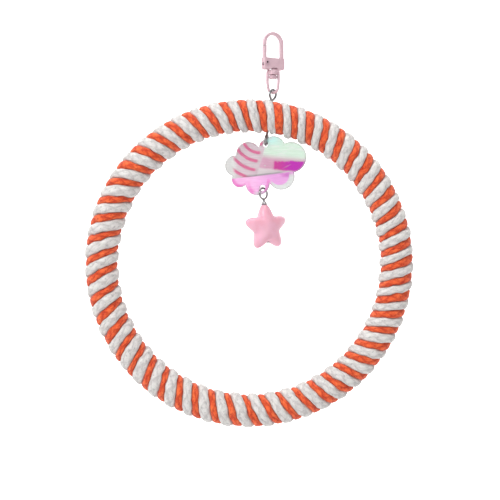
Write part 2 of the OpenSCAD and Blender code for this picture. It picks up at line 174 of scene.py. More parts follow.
class Graph:
    """Node tree of a material or of the world, with the one way in which its nodes are added."""

    def __init__(self, name: str, sky: bool = False) -> None:
        """Starts a material with a lone Principled shader, or a world with its Background.

        Args:
            name: The name of the material or world.
            sky: Whether it is a world.
        """
        self.owner = (bpy.data.worlds if sky else bpy.data.materials).new(name)
        self.owner.use_nodes = True
        self.tree = self.owner.node_tree
        self.shader = self.tree.nodes["Background" if sky else "Principled BSDF"]

    def node(
        self, kind: str, sockets: dict[str | int, object], out: str | int = 0, **settings: object
    ) -> Socket:
        """Adds any node.

        Args:
            kind: The node's type.
            sockets: Values or links of its input sockets, by name or number.
            out: The output that is wanted, by name or number.
            settings: What is set on the node itself, first.

        Returns:
            That output.
        """
        made = self.tree.nodes.new(kind)
        for key, value in settings.items():
            setattr(made, key, value)
        for key, value in sockets.items():
            self.feed(made.inputs[key], value)
        return Socket(self, made.outputs[out])

    def feed(self, socket: bpy.types.NodeSocket, value: object) -> None:
        """Links a value into a socket, or sets it there.

        Args:
            socket: An input socket.
            value: Another node's output, or a plain value, where a colour has three numbers.
        """
        if isinstance(value, Socket):
            self.tree.links.new(value.link, socket)
        elif isinstance(value, tuple) and len(value) == 3 and socket.type == "RGBA":
            socket.default_value = (*value, 1.0)
        else:
            socket.default_value = value

    def dress(self, **values: object) -> bpy.types.ID:
        """Sets the shader's sockets.

        Args:
            values: Values or links by the socket's name, with _ for a space.

        Returns:
            The finished material or world.
        """
        for key, value in values.items():
            self.feed(self.shader.inputs[key.replace("_", " ")], value)
        return self.owner

    def noise(self, at: Socket, scale: Number, detail: Number, rough: Number = 0.5) -> Socket:
        """Noise from nought to one at the point at, scale being cells to a unit."""
        values = {"Vector": at, "Scale": scale, "Detail": detail, "Roughness": rough}
        return self.node("ShaderNodeTexNoise", values, "Fac")

    def grain(self, at: Socket, u: float, v: float, detail: float = 2, rough: float = 0.6) -> Socket:
        """Noise on flat coordinates, with u cells to a unit along and v across."""
        return self.noise(self.vector("MULTIPLY", at, (u, v, 1.0)), 1.0, detail, rough)

    def mix(self, share: Socket | Number, low: Socket | Colour, high: Socket | Colour) -> Socket:
        """Colour between low and high, which are inputs 6 and 7 of the Mix node."""
        return self.node("ShaderNodeMix", {0: share, 6: low, 7: high}, 2, data_type="RGBA")

    def place(self) -> Socket:
        """Point of the mesh, in metres."""
        return self.node("ShaderNodeTexCoord", {}, "Object")

    def vector(self, operation: str, *values: Socket | tuple, out: str = "Vector") -> Socket:
        """Adds one Vector Math node on points or directions."""
        sockets = dict(enumerate(values))
        return self.node("ShaderNodeVectorMath", sockets, out, operation=operation)

    def height(self, at: Socket) -> Socket:
        """Height of the point at."""
        return self.node("ShaderNodeSeparateXYZ", {"Vector": at}, "Z")

    def chart(self, name: str) -> tuple[Socket, Socket, Socket]:
        """Reads the mesh's own flat coordinates.

        Args:
            name: The name of the coordinates.

        Returns:
            The coordinates as a point, then each alone.
        """
        point = self.node("ShaderNodeUVMap", {}, "UV", uv_map=name)
        parts = self.node("ShaderNodeSeparateXYZ", {"Vector": point}, "X")
        return point, parts, Socket(self, parts.link.node.outputs["Y"])

    def bump(self, height: Socket, depth: Number, strength: Number) -> Socket:
        """Normal of a surface raised by height times depth, in metres."""
        values = {"Height": height, "Distance": depth, "Strength": strength}
        return self.node("ShaderNodeBump", values, "Normal")


@dataclass(frozen=True)
class Cotton:
    """Soft cotton rope: bundles that cross at a shallow angle, fine fibres and flecks, with painted
    shade in the hollows between the bundles.
    """

    name: str
    light: Colour
    # dark is the colour of the painted shade in the hollows, and of the darker fibres
    dark: Colour
    fleck: Colour
    tint: Colour
    fleck_share: float = 0.5
    tint_share: float = 0.35
    rough: float = 0.92
    sheen: float = 0.2
    relief: float = 0.26 * MM
    yarns: int = 3
    # How far the bundles wander, in bundle widths, in each of their two families
    wander: tuple[float, float] = (0.9, 0.7)
    # What crowns, yarns, fibres and fuzz add to the tone, and to the height; the tone from crowns
    # and yarns is painted shade, darker in the hollows between bundles and yarns
    tone_shares: tuple[float, ...] = (0.34, 0.05, 0.55, 0.4)
    height_shares: tuple[float, ...] = (0.8, 0.16, 0.6, 0.5)

    def make(self) -> Material:
        """Builds the material from the rope's own coordinates, in bundle lengths and widths.

        Returns:
            The material.
        """
        g = Graph(self.name)
        point, along, around = g.chart(ROPE_MAP)
        drift = g.grain(point, 1.1, 1.0)
        p = along + around + drift * self.wander[0]
        q = along - around - drift * self.wander[1]
        over = (p.floor() + q.floor()) % 2
        fp, fq = p % 1, q % 1
        across = fp + (fq - fp) * over
        length = fq + (fp - fq) * over
        crown = ((across * math.pi).sine() ** 0.7) * (0.45 + 0.55 * (length * math.pi).sine())
        yarn = ((across + drift * 0.25) * (2 * math.pi * self.yarns)).sine()
        fibre = g.grain(point, 7.0, 5.0, 4.0, 0.7)
        fuzz = g.grain(point, 26.0, 9.0, 3.0, 0.65)
        patch = g.grain(point, 1.9, 0.8, 3.0)
        # Painted shade: the tone is darker in the hollows between bundles and yarns; fibres and fuzz
        # vary it at random
        tone, height = (
            crown * a + yarn * b + fibre * c + fuzz * d
            for a, b, c, d in (self.tone_shares, self.height_shares))
        tone = tone + (patch - 0.5) * 0.6
        base = g.mix(tone.ramp(0.3, 0.98), self.dark, self.light)
        base = g.mix(patch.ramp(0.5, 0.7) * self.tint_share, base, self.tint)
        speck = g.grain(point, 5.2, 2.6).ramp(0.57, 0.70)
        base = g.mix(speck * self.fleck_share, base, self.fleck)
        return g.dress(
            Base_Color=base,
            Roughness=self.rough,
            Specular_IOR_Level=0.2,
            Sheen_Weight=self.sheen,
            Sheen_Roughness=0.6,
            Normal=g.bump(height, self.relief, 0.85),
        )


@dataclass(frozen=True)
class Paint:
    """Satin paint over a metal casting: slight unevenness and wear, with painted shade in the gate's
    rivet bore and along the gate's seam.
    """

    name: str
    colour: Colour
    worn: Colour
    gloss: float = 0.38
    relief: float = 0.05 * MM
    # Painted shade: inside the gate's rivet bore, and along the slanting seam at the gate's upper
    # end
    bore_r: float = 0.0
    bore_soft: float = 0.12 * MM
    bore_shade_tone: Colour = (0.03, 0.012, 0.016)
    seam_z: float = 0.0
    seam_x: float = -5.8 * MM
    seam_slope: float = 0.7
    seam_shade_tone: Colour = (0.16, 0.075, 0.095)

    def make(self) -> Material:
        """Builds the paint, with painted shade within bore_r of the gate's axis and along the gate's
        seam.

        Returns:
            The material.
        """
        g = Graph(self.name)
        at = g.place()
        cloudy = g.noise(at, 260.0, 3.0, 0.6)
        grain = g.noise(at, 2400.0, 2.0, 0.6)
        base = g.mix(cloudy.ramp(0.35, 0.75), self.colour, self.worn)
        gate = joint("gate_turn")
        axis = tuple(gate["axis"])
        # Painted shade of the gap along the gate's upper seam
        if self.seam_z:
            across = g.vector("DOT_PRODUCT", at, (axis[1], -axis[0], 0.0), out="Value")
            off = abs(g.height(at) - self.seam_z - (across - self.seam_x) * self.seam_slope)
            seam = off.ramp(0.42 * MM, 0.12 * MM) * across.ramp(-3.5 * MM, -4.5 * MM)
            base = g.mix(seam * 0.6, base, self.seam_shade_tone)
        # Painted shade inside the gate's rivet bore
        if self.bore_r:
            off = g.vector("CROSS_PRODUCT", g.vector("SUBTRACT", at, tuple(gate["pos_m"])), axis)
            reach = g.vector("LENGTH", off, out="Value")
            bore = reach.ramp(self.bore_r + self.bore_soft, self.bore_r)
            base = g.mix(bore, base, self.bore_shade_tone)
        return g.dress(
            Base_Color=base,
            Roughness=self.gloss + (cloudy - 0.5) * 0.12,
            Coat_Weight=0.22,
            Coat_Roughness=0.2,
            Normal=g.bump(grain * 0.5 + cloudy, self.relief, 0.5),
        )


@dataclass(frozen=True)
class Metal:
    """Drawn or plated metal with fine scratches and a little tarnish."""

    name: str
    colour: Colour
    tarnish: Colour
    rough: float = 0.3

    def make(self) -> Material:
        """Builds the metal.

        Returns:
            The material.
        """
        g = Graph(self.name)
        at = g.place()
        stain = g.noise(at, 420.0, 3.0, 0.6)
        scratch = g.noise(g.vector("MULTIPLY", at, (1.0, 1.0, 0.15)), 5200.0, 2.0, 0.7)
        return g.dress(
            Base_Color=g.mix(stain.ramp(0.4, 0.72), self.colour, self.tarnish),
            Metallic=1.0,
            Roughness=self.rough + (stain - 0.5) * 0.2 + (scratch - 0.5) * 0.14,
            Normal=g.bump(scratch, 0.02 * MM, 0.5),
        )


@dataclass(frozen=True)
class Plastic:
    """Plain moulded plastic with a faint grain."""

    name: str
    colour: Colour

    def make(self) -> Material:
        """Builds the plastic.

        Returns:
            The material.
        """
        g = Graph(self.name)
        grain = g.noise(g.place(), 900.0, 3.0, 0.6)
        darker = tuple(0.8 * c for c in self.colour)
        return g.dress(
            Base_Color=g.mix(grain, darker, self.colour),
            Roughness=0.5 + grain * 0.15,
            Normal=g.bump(grain, 0.03 * MM, 0.5),
        )


@dataclass(frozen=True)
class Iridescent:
    """Clear acrylic plate with a film of colour: mint green, then mauve, magenta and lilac.

    Places on the plate are from its middle, in shares of its width.
    """

    name: str
    mint: Colour = (0.53, 0.73, 0.57)
    cyan: Colour = (0.42, 0.86, 0.82)
    pale: Colour = (0.52, 0.38, 0.44)
    clear: Colour = (0.62, 0.66, 0.63)
    stripe: Colour = (0.68, 0.08, 0.25)
    mauve: Colour = (0.58, 0.25, 0.40)
    rose: Colour = (0.55, 0.03, 0.28)
    magenta: Colour = (0.48, 0.004, 0.42)
    lilac: Colour = (0.78, 0.30, 0.72)
    blush: Colour = (0.98, 0.52, 0.84)
    hot: Colour = (0.84, 0.07, 0.52)
    line: Colour = (0.26, 0.26, 0.27)
    edge: Colour = (0.34, 0.38, 0.36)
    # Lines that part the film: between left and right, along the band, and above the foot
    part_x: float = -0.066
    part_slope: float = 0.3
    band_z: float = 0.115
    band_slope: float = -0.116
    foot_z: float = -0.113
    foot_slope: float = 0.103
    # The bowed stripes: the middle of their bows, the first one's radius, and their step
    bow_x: float = -0.0615
    bow_z: float = 0.3825
    bow_r: float = 0.225
    bow_step: float = 0.105
    # Rims of the foot's lobes: place and spread across, outer and inner distance, share, colour
    rims: tuple[tuple[float, float, float, float, float, Colour], ...] = (
        (-0.34, 0.16, 3.2 * MM, 1.0 * MM, 0.85, hot),
        (-0.17, 0.07, 4.6 * MM, 1.2 * MM, 0.8, hot),
        (0.03, 0.06, 4.0 * MM, 1.2 * MM, 0.6, hot),
        (-0.08, 0.07, 2.6 * MM, 1.4 * MM, 0.7, clear),
    )

    def make(self) -> Material:
        """Builds the film's colours from the plate's flat coordinates.

        Returns:
            The material.
        """
        g = Graph(self.name)
        point, x, z = g.chart(PLATE_MAP)
        inside = g.chart(RIM_MAP)[1]
        drift = g.noise(point, 6.0, 2.0) - 0.5
        wavy = g.grain(point, 7.0, 24.0)
        streak = g.grain(point, 5.0, 60.0)
        across = x - z * self.part_slope - self.part_x + drift * 0.02
        right = across.ramp(-0.012, 0.012)
        seam = z - x * self.foot_slope - self.foot_z
        below = seam.ramp(0.006, -0.006)
        # Upper right: mint with a cyan lobe, a mauve band under it and the magenta patch, crossed by
        # a painted highlight
        band = z - x * self.band_slope - self.band_z + drift * 0.02
        mint = g.mix(z.ramp(0.2, 0.33) * x.ramp(0.28, 0.05), self.mint, self.cyan)
        mint = g.mix(wavy.ramp(0.5, 0.62) * 0.5, mint, self.clear)
        side = g.mix(band.ramp(0.05, -0.05), mint, self.mauve)
        side = g.mix(band.ramp(-0.13, -0.17) * 0.7, side, self.clear)
        ragged = (g.grain(point, 22.0, 34.0, 3.0, 0.7) - 0.5) * 0.09
        patch = (x + ragged * 0.6).ramp(0.085, 0.125)
        patch = patch * (band + ragged - (x - 0.2) * 0.12).ramp(-0.03, -0.06)
        patch = patch * (band + ragged * 0.4).ramp(-0.165, -0.13)
        # Painted highlight: a thin bright line across the magenta patch, which lightens it
        glint = (band + 0.1 - (x - 0.26) * 0.55).bell(0.0, 0.012) * x.bell(0.27, 0.07)
        deep = patch * (1 - glint * 0.6)
        side = g.mix(deep * 0.92, side, g.mix(x.ramp(0.14, 0.34), self.rose, self.magenta))
        # Upper left: pale, with four bowed stripes
        from_x, from_z = x - self.bow_x, z - self.bow_z
        reach = ((from_x * from_x + from_z * from_z) ** 0.5) + drift * 0.02
        beat = abs(((reach - self.bow_r) * (1 / self.bow_step) + 0.5) % 1 - 0.5)
        stripes = beat.ramp(0.26, 0.1) * across.ramp(-0.02, -0.06)
        stripes = stripes * reach.ramp(0.6, 0.57) * x.ramp(-0.42, -0.36)
        left = g.mix(x.ramp(-0.33, -0.4) * 0.8, self.pale, self.clear)
        left = g.mix(stripes * 0.85, left, self.stripe)
        # Foot: lilac, hotter at the left lobes' rims, clear at the lower right
        foot = g.mix(x.bell(-0.2, 0.34) * (0.35 + streak * 0.9), self.lilac, self.blush)
        foot = g.mix(x.bell(0.27, 0.1) * (z + 0.115).bell(0.0, 0.05) * 0.85, foot, self.magenta)
        for middle, spread, outer, inner, share, tone in self.rims:
            lobe = x.bell(middle, spread) * inside.ramp(outer, inner)
            foot = g.mix(lobe * share, foot, tone)
        bare = inside.ramp(3.6 * MM, 2.8 * MM) * x.ramp(0.06, 0.1) * z.ramp(-0.08, -0.14)
        foot = g.mix(bare, foot, self.clear)
        base = g.mix(right, left, side)
        base = g.mix(below, base, foot)
        thin = seam.bell(0.008, 0.022) * x.bell(-0.02, 0.3).ramp(0.0, 0.3)
        base = g.mix(thin * 0.75, base, self.line)
        rim = inside.ramp(0.75 * MM, 0.25 * MM)
        base = g.mix(rim * 0.5, base, self.edge)
        # The film hides more where its colour is strong
        upper = right * (1 - below)
        solid = 0.56 + streak.ramp(0.4, 0.7) * 0.08 + stripes * (1 - below) * 0.25
        solid = solid + below * (1 - bare) * 0.12 + thin * 0.2 + rim * 0.12
        solid = solid + upper * (band.ramp(0.02, -0.03) * 0.1 + deep * 0.26)
        return g.dress(
            Base_Color=base,
            Roughness=0.10 + wavy * 0.1,
            Alpha=solid.at_most(0.97),
            Coat_Weight=0.7,
            Coat_Roughness=0.04,
            IOR=1.49,
            Normal=g.bump(wavy + streak * 0.5, 0.12 * MM, 0.35),
        )


@dataclass(frozen=True)
class Pearl:
    """Glossy pink bead with a soft pearl depth."""

    name: str
    colour: Colour
    deep: Colour

    def make(self) -> Material:
        """Builds the bead's finish.

        Returns:
            The material.
        """
        g = Graph(self.name)
        at = g.place()
        swirl = g.noise(at, 90.0, 3.0, 0.6)
        return g.dress(
            Base_Color=g.mix(swirl.ramp(0.35, 0.7), self.colour, self.deep),
            Roughness=0.30 + swirl * 0.1,
            Coat_Weight=0.5,
            Coat_Roughness=0.12,
            Subsurface_Weight=0.15,
            Subsurface_Scale=2.0 * MM,
            Normal=g.bump(g.noise(at, 240.0, 2.0), 0.06 * MM, 0.4),
        )


@dataclass
class Sheet:
    """A grid of points that becomes a mesh, with optional flat coordinates.

    The points are rows by columns by 3. The rows of a ring close on themselves, and its first and
    last row are filled, unless it is a loop, where the last row meets the first.
    """

    points: np.ndarray
    ring: bool = True
    loop: bool = False
    charts: dict[str, tuple[np.ndarray, np.ndarray]] = field(default_factory=dict)

    def corners(self) -> tuple[np.ndarray, np.ndarray]:
        """Finds the corners of the four-sided faces.

        Returns:
            Row and column of each corner of each face, before any wrap.
        """
        rows, cols = self.points.shape[:2]
        i = np.arange(rows if self.loop else rows - 1)
        j = np.arange(cols if self.ring else cols - 1)
        gi, gj = (a.ravel() for a in np.meshgrid(i, j, indexing="ij"))
        return np.stack([gi, gi, gi + 1, gi + 1], 1), np.stack([gj, gj + 1, gj + 1, gj], 1)

    def mesh(self, name: str) -> Mesh:
        """Builds the mesh, its charts and smooth shading.

        Args:
            name: The mesh's name.

        Returns:
            The new mesh.
        """
        rows, cols = self.points.shape[:2]
        ci, cj = self.corners()
        faces = ((ci % rows) * cols + cj % cols).tolist()
        if self.ring and not self.loop:
            faces.append(list(range(cols))[::-1])
            faces.append(list(range((rows - 1) * cols, rows * cols)))
        made = bpy.data.meshes.new(name)
        made.from_pydata(self.points.reshape(-1, 3).tolist(), [], faces)
        for chart, (us, vs) in self.charts.items():
            uv = np.zeros((len(made.loops), 2), np.float32)
            uv[: ci.size, 0] = us[ci, cj].ravel()
            uv[: ci.size, 1] = vs[ci, cj].ravel()
            made.uv_layers.new(name=chart).data.foreach_set("uv", uv.ravel())
        made.shade_smooth()
        return made


def circle(steps: int) -> np.ndarray:
    """Angles of even steps once round."""
    return np.linspace(0, 2 * math.pi, steps, endpoint=False)


def upright(flat: np.ndarray, yaw: float = 90.0) -> np.ndarray:
    """Flat points set upright, in the plane that is yaw degrees round from the side view's."""
    c, s = math.cos(math.radians(yaw)), math.sin(math.radians(yaw))
    return np.stack([flat[:, 0] * s, flat[:, 0] * c, flat[:, 1]], 1)


def sweep(route: np.ndarray, radius: np.ndarray | float, sides: int, loop: bool = False) -> Sheet:
    """Round wire along a route.

    Args:
        route: Points of the wire's middle.
        radius: Radius all along, or at each point.
        sides: Corners of a section.
        loop: Whether the wire closes on itself.

    Returns:
        The wire's surface.
    """
    count = len(route)
    ahead = np.roll(route, -1, 0) - np.roll(route, 1, 0)
    if not loop:
        ahead[0], ahead[-1] = route[1] - route[0], route[-1] - route[-2]
    ahead /= np.linalg.norm(ahead, axis=1, keepdims=True)
    side = np.zeros_like(route)
    start = np.cross(ahead[0], ODD_WAY)
    side[0] = start / np.linalg.norm(start)
    for i in range(1, count):
        turned = side[i - 1] - ahead[i] * (side[i - 1] @ ahead[i])
        side[i] = turned / np.linalg.norm(turned)
    if loop:
        last = side[-1] - ahead[0] * (side[-1] @ ahead[0])
        twist = math.atan2(np.cross(last, side[0]) @ ahead[0], last @ side[0])
        turn = np.linspace(0, twist, count, endpoint=False)[:, None]
        side = side * np.cos(turn) + np.cross(ahead, side) * np.sin(turn)
    up = np.cross(ahead, side)
    a = circle(sides)[None, :, None]
    r = np.broadcast_to(np.asarray(radius, float), (count,))[:, None, None]
    points = route[:, None] + r * (np.cos(a) * side[:, None] + np.sin(a) * up[:, None])
    return Sheet(points, loop=loop)


def turned(profile: Sequence[tuple[float, float]], sides: int, hollow: bool = False) -> Sheet:
    """Surface turned about Z from a profile.

    Args:
        profile: Radii and heights, from its foot to its top.
        sides: Corners of a section.
        hollow: Whether the last row meets the first, round a bore.

    Returns:
        The surface.
    """
    a = circle(sides)
    r, z = np.array(profile).T[..., None]
    points = np.stack([r * np.cos(a), r * np.sin(a), z + 0 * a], -1)
    return Sheet(points, loop=hollow)


def arc(middle: Sequence[float], r: float, start: float, end: float, steps: int) -> np.ndarray:
    """Points on a flat arc about middle, from one angle to another in degrees."""
    a = np.radians(np.linspace(start, end, steps + 1))
    return np.stack([middle[0] + r * np.cos(a), middle[1] + r * np.sin(a)], 1)


def join(*parts: Mesh) -> Mesh:
    """One mesh of several, kept as separate shells.

    Args:
        parts: The meshes.

    Returns:
        The first of them, which now holds them all.
    """
    bm = bmesh.new()
    for part in parts:
        bm.from_mesh(part)
    made = parts[0]
    bm.to_mesh(made)
    bm.free()
    made.shade_smooth()
    return made


class SubAssembly:
    """What every group of pieces shares: naming, dressing, riding and reporting."""

    body: Body

    def add(
        self,
        mesh: Mesh,
        material: Material,
        slot: str,
        nodes: Sequence[str],
        place: Matrix | None = None,
    ) -> bpy.types.Object:
        """Makes a piece of a mesh.

        Args:
            mesh: Its mesh, whose name the piece takes.
            material: Its finish.
            slot: The record's slot that the finish stands for; not used.
            nodes: The construction's nodes that it replaces.
            place: What turns its own frame into the swing's.

        Returns:
            The piece.
        """
        if place is not None:
            mesh.transform(place)
        made = put(mesh.name, mesh)
        mesh.materials.clear()
        mesh.materials.append(material)
        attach(made, self.body.value)
        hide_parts(*nodes)
        LOG.info("piece %s on %s, %d faces", made.name, self.body.value, len(mesh.polygons))
        return made

    def dress_node(self, node: str, material: Material, slot: str, soften: float = 0.0) -> None:
        """Finishes a node of the construction where it is.

        Args:
            node: The node's name.
            material: Its finish.
            slot: The record's slot that the finish stands for; not used.
            soften: Width of the round given to its sharp edges.
        """
        made = frame["nodes"][node]
        made.data.materials.clear()
        made.data.materials.append(material)
        if soften:
            weld = made.modifiers.new("Weld", "WELD")
            weld.merge_threshold = SAME_POINT
            bevel = made.modifiers.new("Edges", "BEVEL")
            bevel.width, bevel.segments = soften, 3
            bevel.limit_method, bevel.angle_limit = "ANGLE", SHARP_EDGE
        LOG.info("node %s dressed", node)


@dataclass
class Winding(SubAssembly):
    """The ring's two ropes, wound side by side round the tube."""

    body: Body = Body.HOOP
    turns: int = 52
    ring_r: float = 84 * MM
    seat_r: float = 5.1 * MM
    thick: float = 4.7 * MM
    orange_drop: float = 0.72 * MM
    drop_gain: float = -0.18 * MM
    tilt: float = 8.0
    first_turn: float = -2.8
    orange_share: float = 0.432
    outer_gain: float = 0.03
    bundles_long: int = 7
    # Bundles round the white rope and round the orange rope
    bundles_round: tuple[int, int] = (6, 5)
    # Corners of a section, sections to a turn and start round the tube, for white and orange
    nets: tuple[tuple[int, int, float], ...] = ((20, 88, 0.5), (16, 100, 0.0))
    relief: float = 0.34 * MM
    seed: int = 11
    # Unevenness: knots to a turn, and size in degrees at the edges or as a share of the girth
    fine: tuple[int, float] = (14, 0.30)
    slow: tuple[int, float] = (3, 0.28)
    girth: tuple[int, float] = (5, 0.03)
    loose_knots: int = 12
    # Beside the wire the orange rope is wider, then pinched: turn, spread, and share or degrees
    wide_spot: tuple[float, float, float] = (1.3, 0.25, 0.42)
    pinch_spot: tuple[float, float, float] = (1.5, 0.13, 1.1)
    # The ropes' ends: gap and length of their rounding in turns, and the girth that is left
    end_gap: float = 0.004
    end_length: float = 0.05
    end_share: float = 0.72
    # How square a rope's section is, and how far its corners crowd to its outer face
    square: float = 2.5
    crowd: float = 0.32
    # Spacing of the turns as a share of the mean, by the angle round the ring
    spacing: Pairs = (
        (0, 0.90), (15, 0.91), (40, 1.0), (60, 0.965), (85, 0.925), (110, 0.96), (145, 0.99),
        (175, 1.055), (200, 1.035), (225, 1.025), (260, 1.07), (295, 1.07), (322, 1.05),
        (339, 0.975), (353, 0.9), (360, 0.9))
    # Slant of the turns on the front beyond the plain helix, in degrees round the ring
    lean: Pairs = (
        (0, 0.6), (20, 1.4), (60, 1.5), (90, 1.9), (165, 2.0), (235, 2.0), (272, 2.5),
        (300, 2.9), (325, 2.0), (345, 1.5), (360, 0.6))

    def __post_init__(self) -> None:
        """Reads the ring's place off the tube and draws the winding's unevenness."""
        low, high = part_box("hoop_tube")
        self.middle = (low + high) / 2
        self.pitch = 360 / self.turns
        rng = np.random.default_rng(self.seed)
        self.edge_fine, self.edge_slow, self.swell = (
            rng.uniform(-1, 1, (2, self.turns * knots + 2))
            for knots, _ in (self.fine, self.slow, self.girth))
        marks = np.linspace(0, 360, 721)
        local = np.interp(marks, *zip(*self.spacing))
        summed = np.concatenate([[0], np.cumsum((local[1:] + local[:-1]) / 2)])
        self.warp_x, self.warp_y = marks, summed * 360 / summed[-1]

    def place(self) -> Matrix:
        """Frame of the hanging ring: its middle, turned by its tilt."""
        return Matrix.Translation(self.middle) @ Matrix.Rotation(math.radians(self.tilt), 4, "Y")

    def spread(self, x: np.ndarray) -> np.ndarray:
        """Even angles round the ring, spread as the turns are."""
        whole = np.floor(x / 360)
        return whole * 360 + np.interp(x - 360 * whole, self.warp_x, self.warp_y)

    def smooth_noise(self, table: np.ndarray, t: np.ndarray) -> np.ndarray:
        """Value noise from a table.

        Args:
            table: Values, a row for each step.
            t: Places, in rows of the table.

        Returns:
            The values at those places, eased between the rows.
        """
        t = np.clip(t, 0, len(table) - 1.001)
        i = t.astype(int)
        f = (t - i).reshape(-1, *[1] * (table.ndim - 1))
        f = f * f * (3 - 2 * f)
        return table[i] * (1 - f) + table[i + 1] * f

    def middle_line(self, u: np.ndarray) -> np.ndarray:
        """Finds where the orange rope's middle lies round the ring.

        Args:
            u: Turns wound.

        Returns:
            Angles in degrees.
        """
        x = self.pitch * (u - 0.25)
        lean = np.interp(x % 360, *zip(*self.lean))
        return self.first_turn + self.spread(x) - lean / 2 * np.cos(2 * math.pi * u)

    def edges(self, u: np.ndarray) -> tuple[np.ndarray, np.ndarray]:
        """Finds where the orange rope's two edges lie round the ring.

        Args:
            u: Turns wound.

        Returns:
            Angles in degrees of the left edge and of the right edge.
        """
        wide, pinch = (
            size * np.exp(-(((u - turn) / spread) ** 2))
            for turn, spread, size in (self.wide_spot, self.pinch_spot))
        share = self.orange_share + self.outer_gain * np.cos(2 * math.pi * u)
        width = self.pitch * share * (1 + wide)
        line = self.middle_line(u)
        sides = [line - width / 2, line + width / 2]
        for tables, (knots, size) in ((self.edge_fine, self.fine), (self.edge_slow, self.slow)):
            step = (u + 1) * knots * self.turns / (self.turns + 2)
            sides = [s + size * self.smooth_noise(row, step) for s, row in zip(sides, tables)]
        return sides[0] - pinch, sides[1]

    def span(self, strand: Strand, u: np.ndarray) -> tuple[np.ndarray, np.ndarray]:
        """Finds where a rope lies round the ring.

        Args:
            strand: Which rope.
            u: Turns wound.

        Returns:
            Angles in degrees of its two edges.
        """
        if strand is Strand.ORANGE:
            return self.edges(u)
        return self.edges(u)[1], self.edges(u + 1)[0]

    def braid(self, along: np.ndarray, around: np.ndarray, drift: np.ndarray) -> np.ndarray:
        """Height of the crossing bundles.

        Args:
            along: Places along the rope, in bundle lengths.
            around: Places round the rope, in bundle widths.
            drift: Unevenness of the bundles.

        Returns:
            From nought in the hollows to one on the crowns, a little uneven.
        """
        p = along + around + 0.35 * drift
        q = along - around + 0.35 * np.roll(drift, 3, 1)
        fp, fq = p % 1, q % 1
        over = (np.floor(p) + np.floor(q)) % 2
        across = np.where(over > 0.5, fq, fp)
        length = np.where(over > 0.5, fp, fq)
        crown = np.sin(math.pi * across) ** 0.8 * (0.4 + 0.6 * np.sin(math.pi * length))
        return crown + 0.3 * drift

    def looseness(self, step: np.ndarray, around: int) -> np.ndarray:
        """Unevenness of the bundles, eased along the rope.

        Args:
            step: Places along the rope, in knots.
            around: Corners of a section.

        Returns:
            A value for each place and corner, with the first corner's again at the end.
        """
        rng = np.random.default_rng(self.seed + around)
        loose = rng.uniform(-1, 1, (self.turns * self.loose_knots + 3, around))
        loose = (loose + np.roll(loose, 1, 1) + np.roll(loose, -1, 1)) / 2
        drift = self.smooth_noise(loose, step)
        return np.concatenate([drift, drift[:, :1]], 1)

    def rope(self, strand: Strand, around: int, samples: int, start: float) -> Sheet:
        """Surface of one rope.

        Args:
            strand: Which rope.
            around: Corners of a section.
            samples: Sections to a turn.
            start: Where it starts round the tube, as a share of a turn.

        Returns:
            The surface, with the rope's own coordinates.
        """
        is_orange = strand is Strand.ORANGE
        first, last = start + self.end_gap, start + self.turns - self.end_gap
        count = self.turns * samples + 1
        u = np.linspace(first, last, count)
        th = 2 * math.pi * u
        drop = self.orange_drop + self.drop_gain * np.cos(th) if is_orange else 0.0
        thick = self.thick - drop
        swell = self.smooth_noise(self.swell[int(is_orange)], (u - first) * self.girth[0])
        ends = (np.minimum(u - first, last - u) / self.end_length).clip(0, 1)
        ends = self.end_share + (1 - self.end_share) * np.sqrt(ends)
        half_t = thick / 2 * (1 + self.girth[1] * swell) * ends
        rho_mid = self.seat_r + half_t
        left, right = self.span(strand, u)
        r_line = self.ring_r + rho_mid * np.cos(th)
        half_w = np.radians((right - left) / 2) * r_line * ends
        a = 2 * math.pi * (np.arange(around + 1) / around)
        a = a - self.crowd * np.cos(a)
        nx, ny = np.cos(a), np.sin(a)
        cx, cy = (np.sign(n) * np.abs(n) ** (2 / self.square) for n in (nx, ny))
        along = np.broadcast_to((u * self.bundles_long)[:, None], (count, around + 1))
        bundles = np.linspace(0, self.bundles_round[is_orange], around + 1)
        cells = np.broadcast_to(bundles, along.shape)
        drift = self.looseness((u - first) * self.loose_knots, around)
        raised = (self.braid(along, cells, drift) - 0.6) * self.relief * ends[:, None]
        across = cx * half_w[:, None] + nx * raised
        rho = rho_mid[:, None] + cy * half_t[:, None] + ny * raised
        middle = np.radians((left + right) / 2)
        phi = middle[:, None] + across / r_line[:, None]
        r = self.ring_r + rho * np.cos(th)[:, None]
        points = np.stack([r * np.sin(phi), -rho * np.sin(th)[:, None], r * np.cos(phi)], -1)
        return Sheet(points[:, :-1], charts={ROPE_MAP: (along, cells)})

    def build(self, white: Material, orange: Material, tube: Material, plug: Material) -> None:
        """Makes the ropes and finishes the tube and plug under them.

        Args:
            white: Finish of the white rope.
            orange: Finish of the orange rope.
            tube: Finish of the tube.
            plug: Finish of the plug.
        """
        for strand, look, (around, samples, start) in zip(Strand, (white, orange), self.nets):
            surface = self.rope(strand, around, samples, start)
            mesh = surface.mesh(strand.value + "_wound")
            slot = strand.value.replace("rope_", "") + "_cotton"
            self.add(mesh, look, slot, [strand.value], place=self.place())
        self.dress_node("hoop_tube", tube, "tube_plastic")
        self.dress_node("hoop_plug", plug, "plug_plastic")


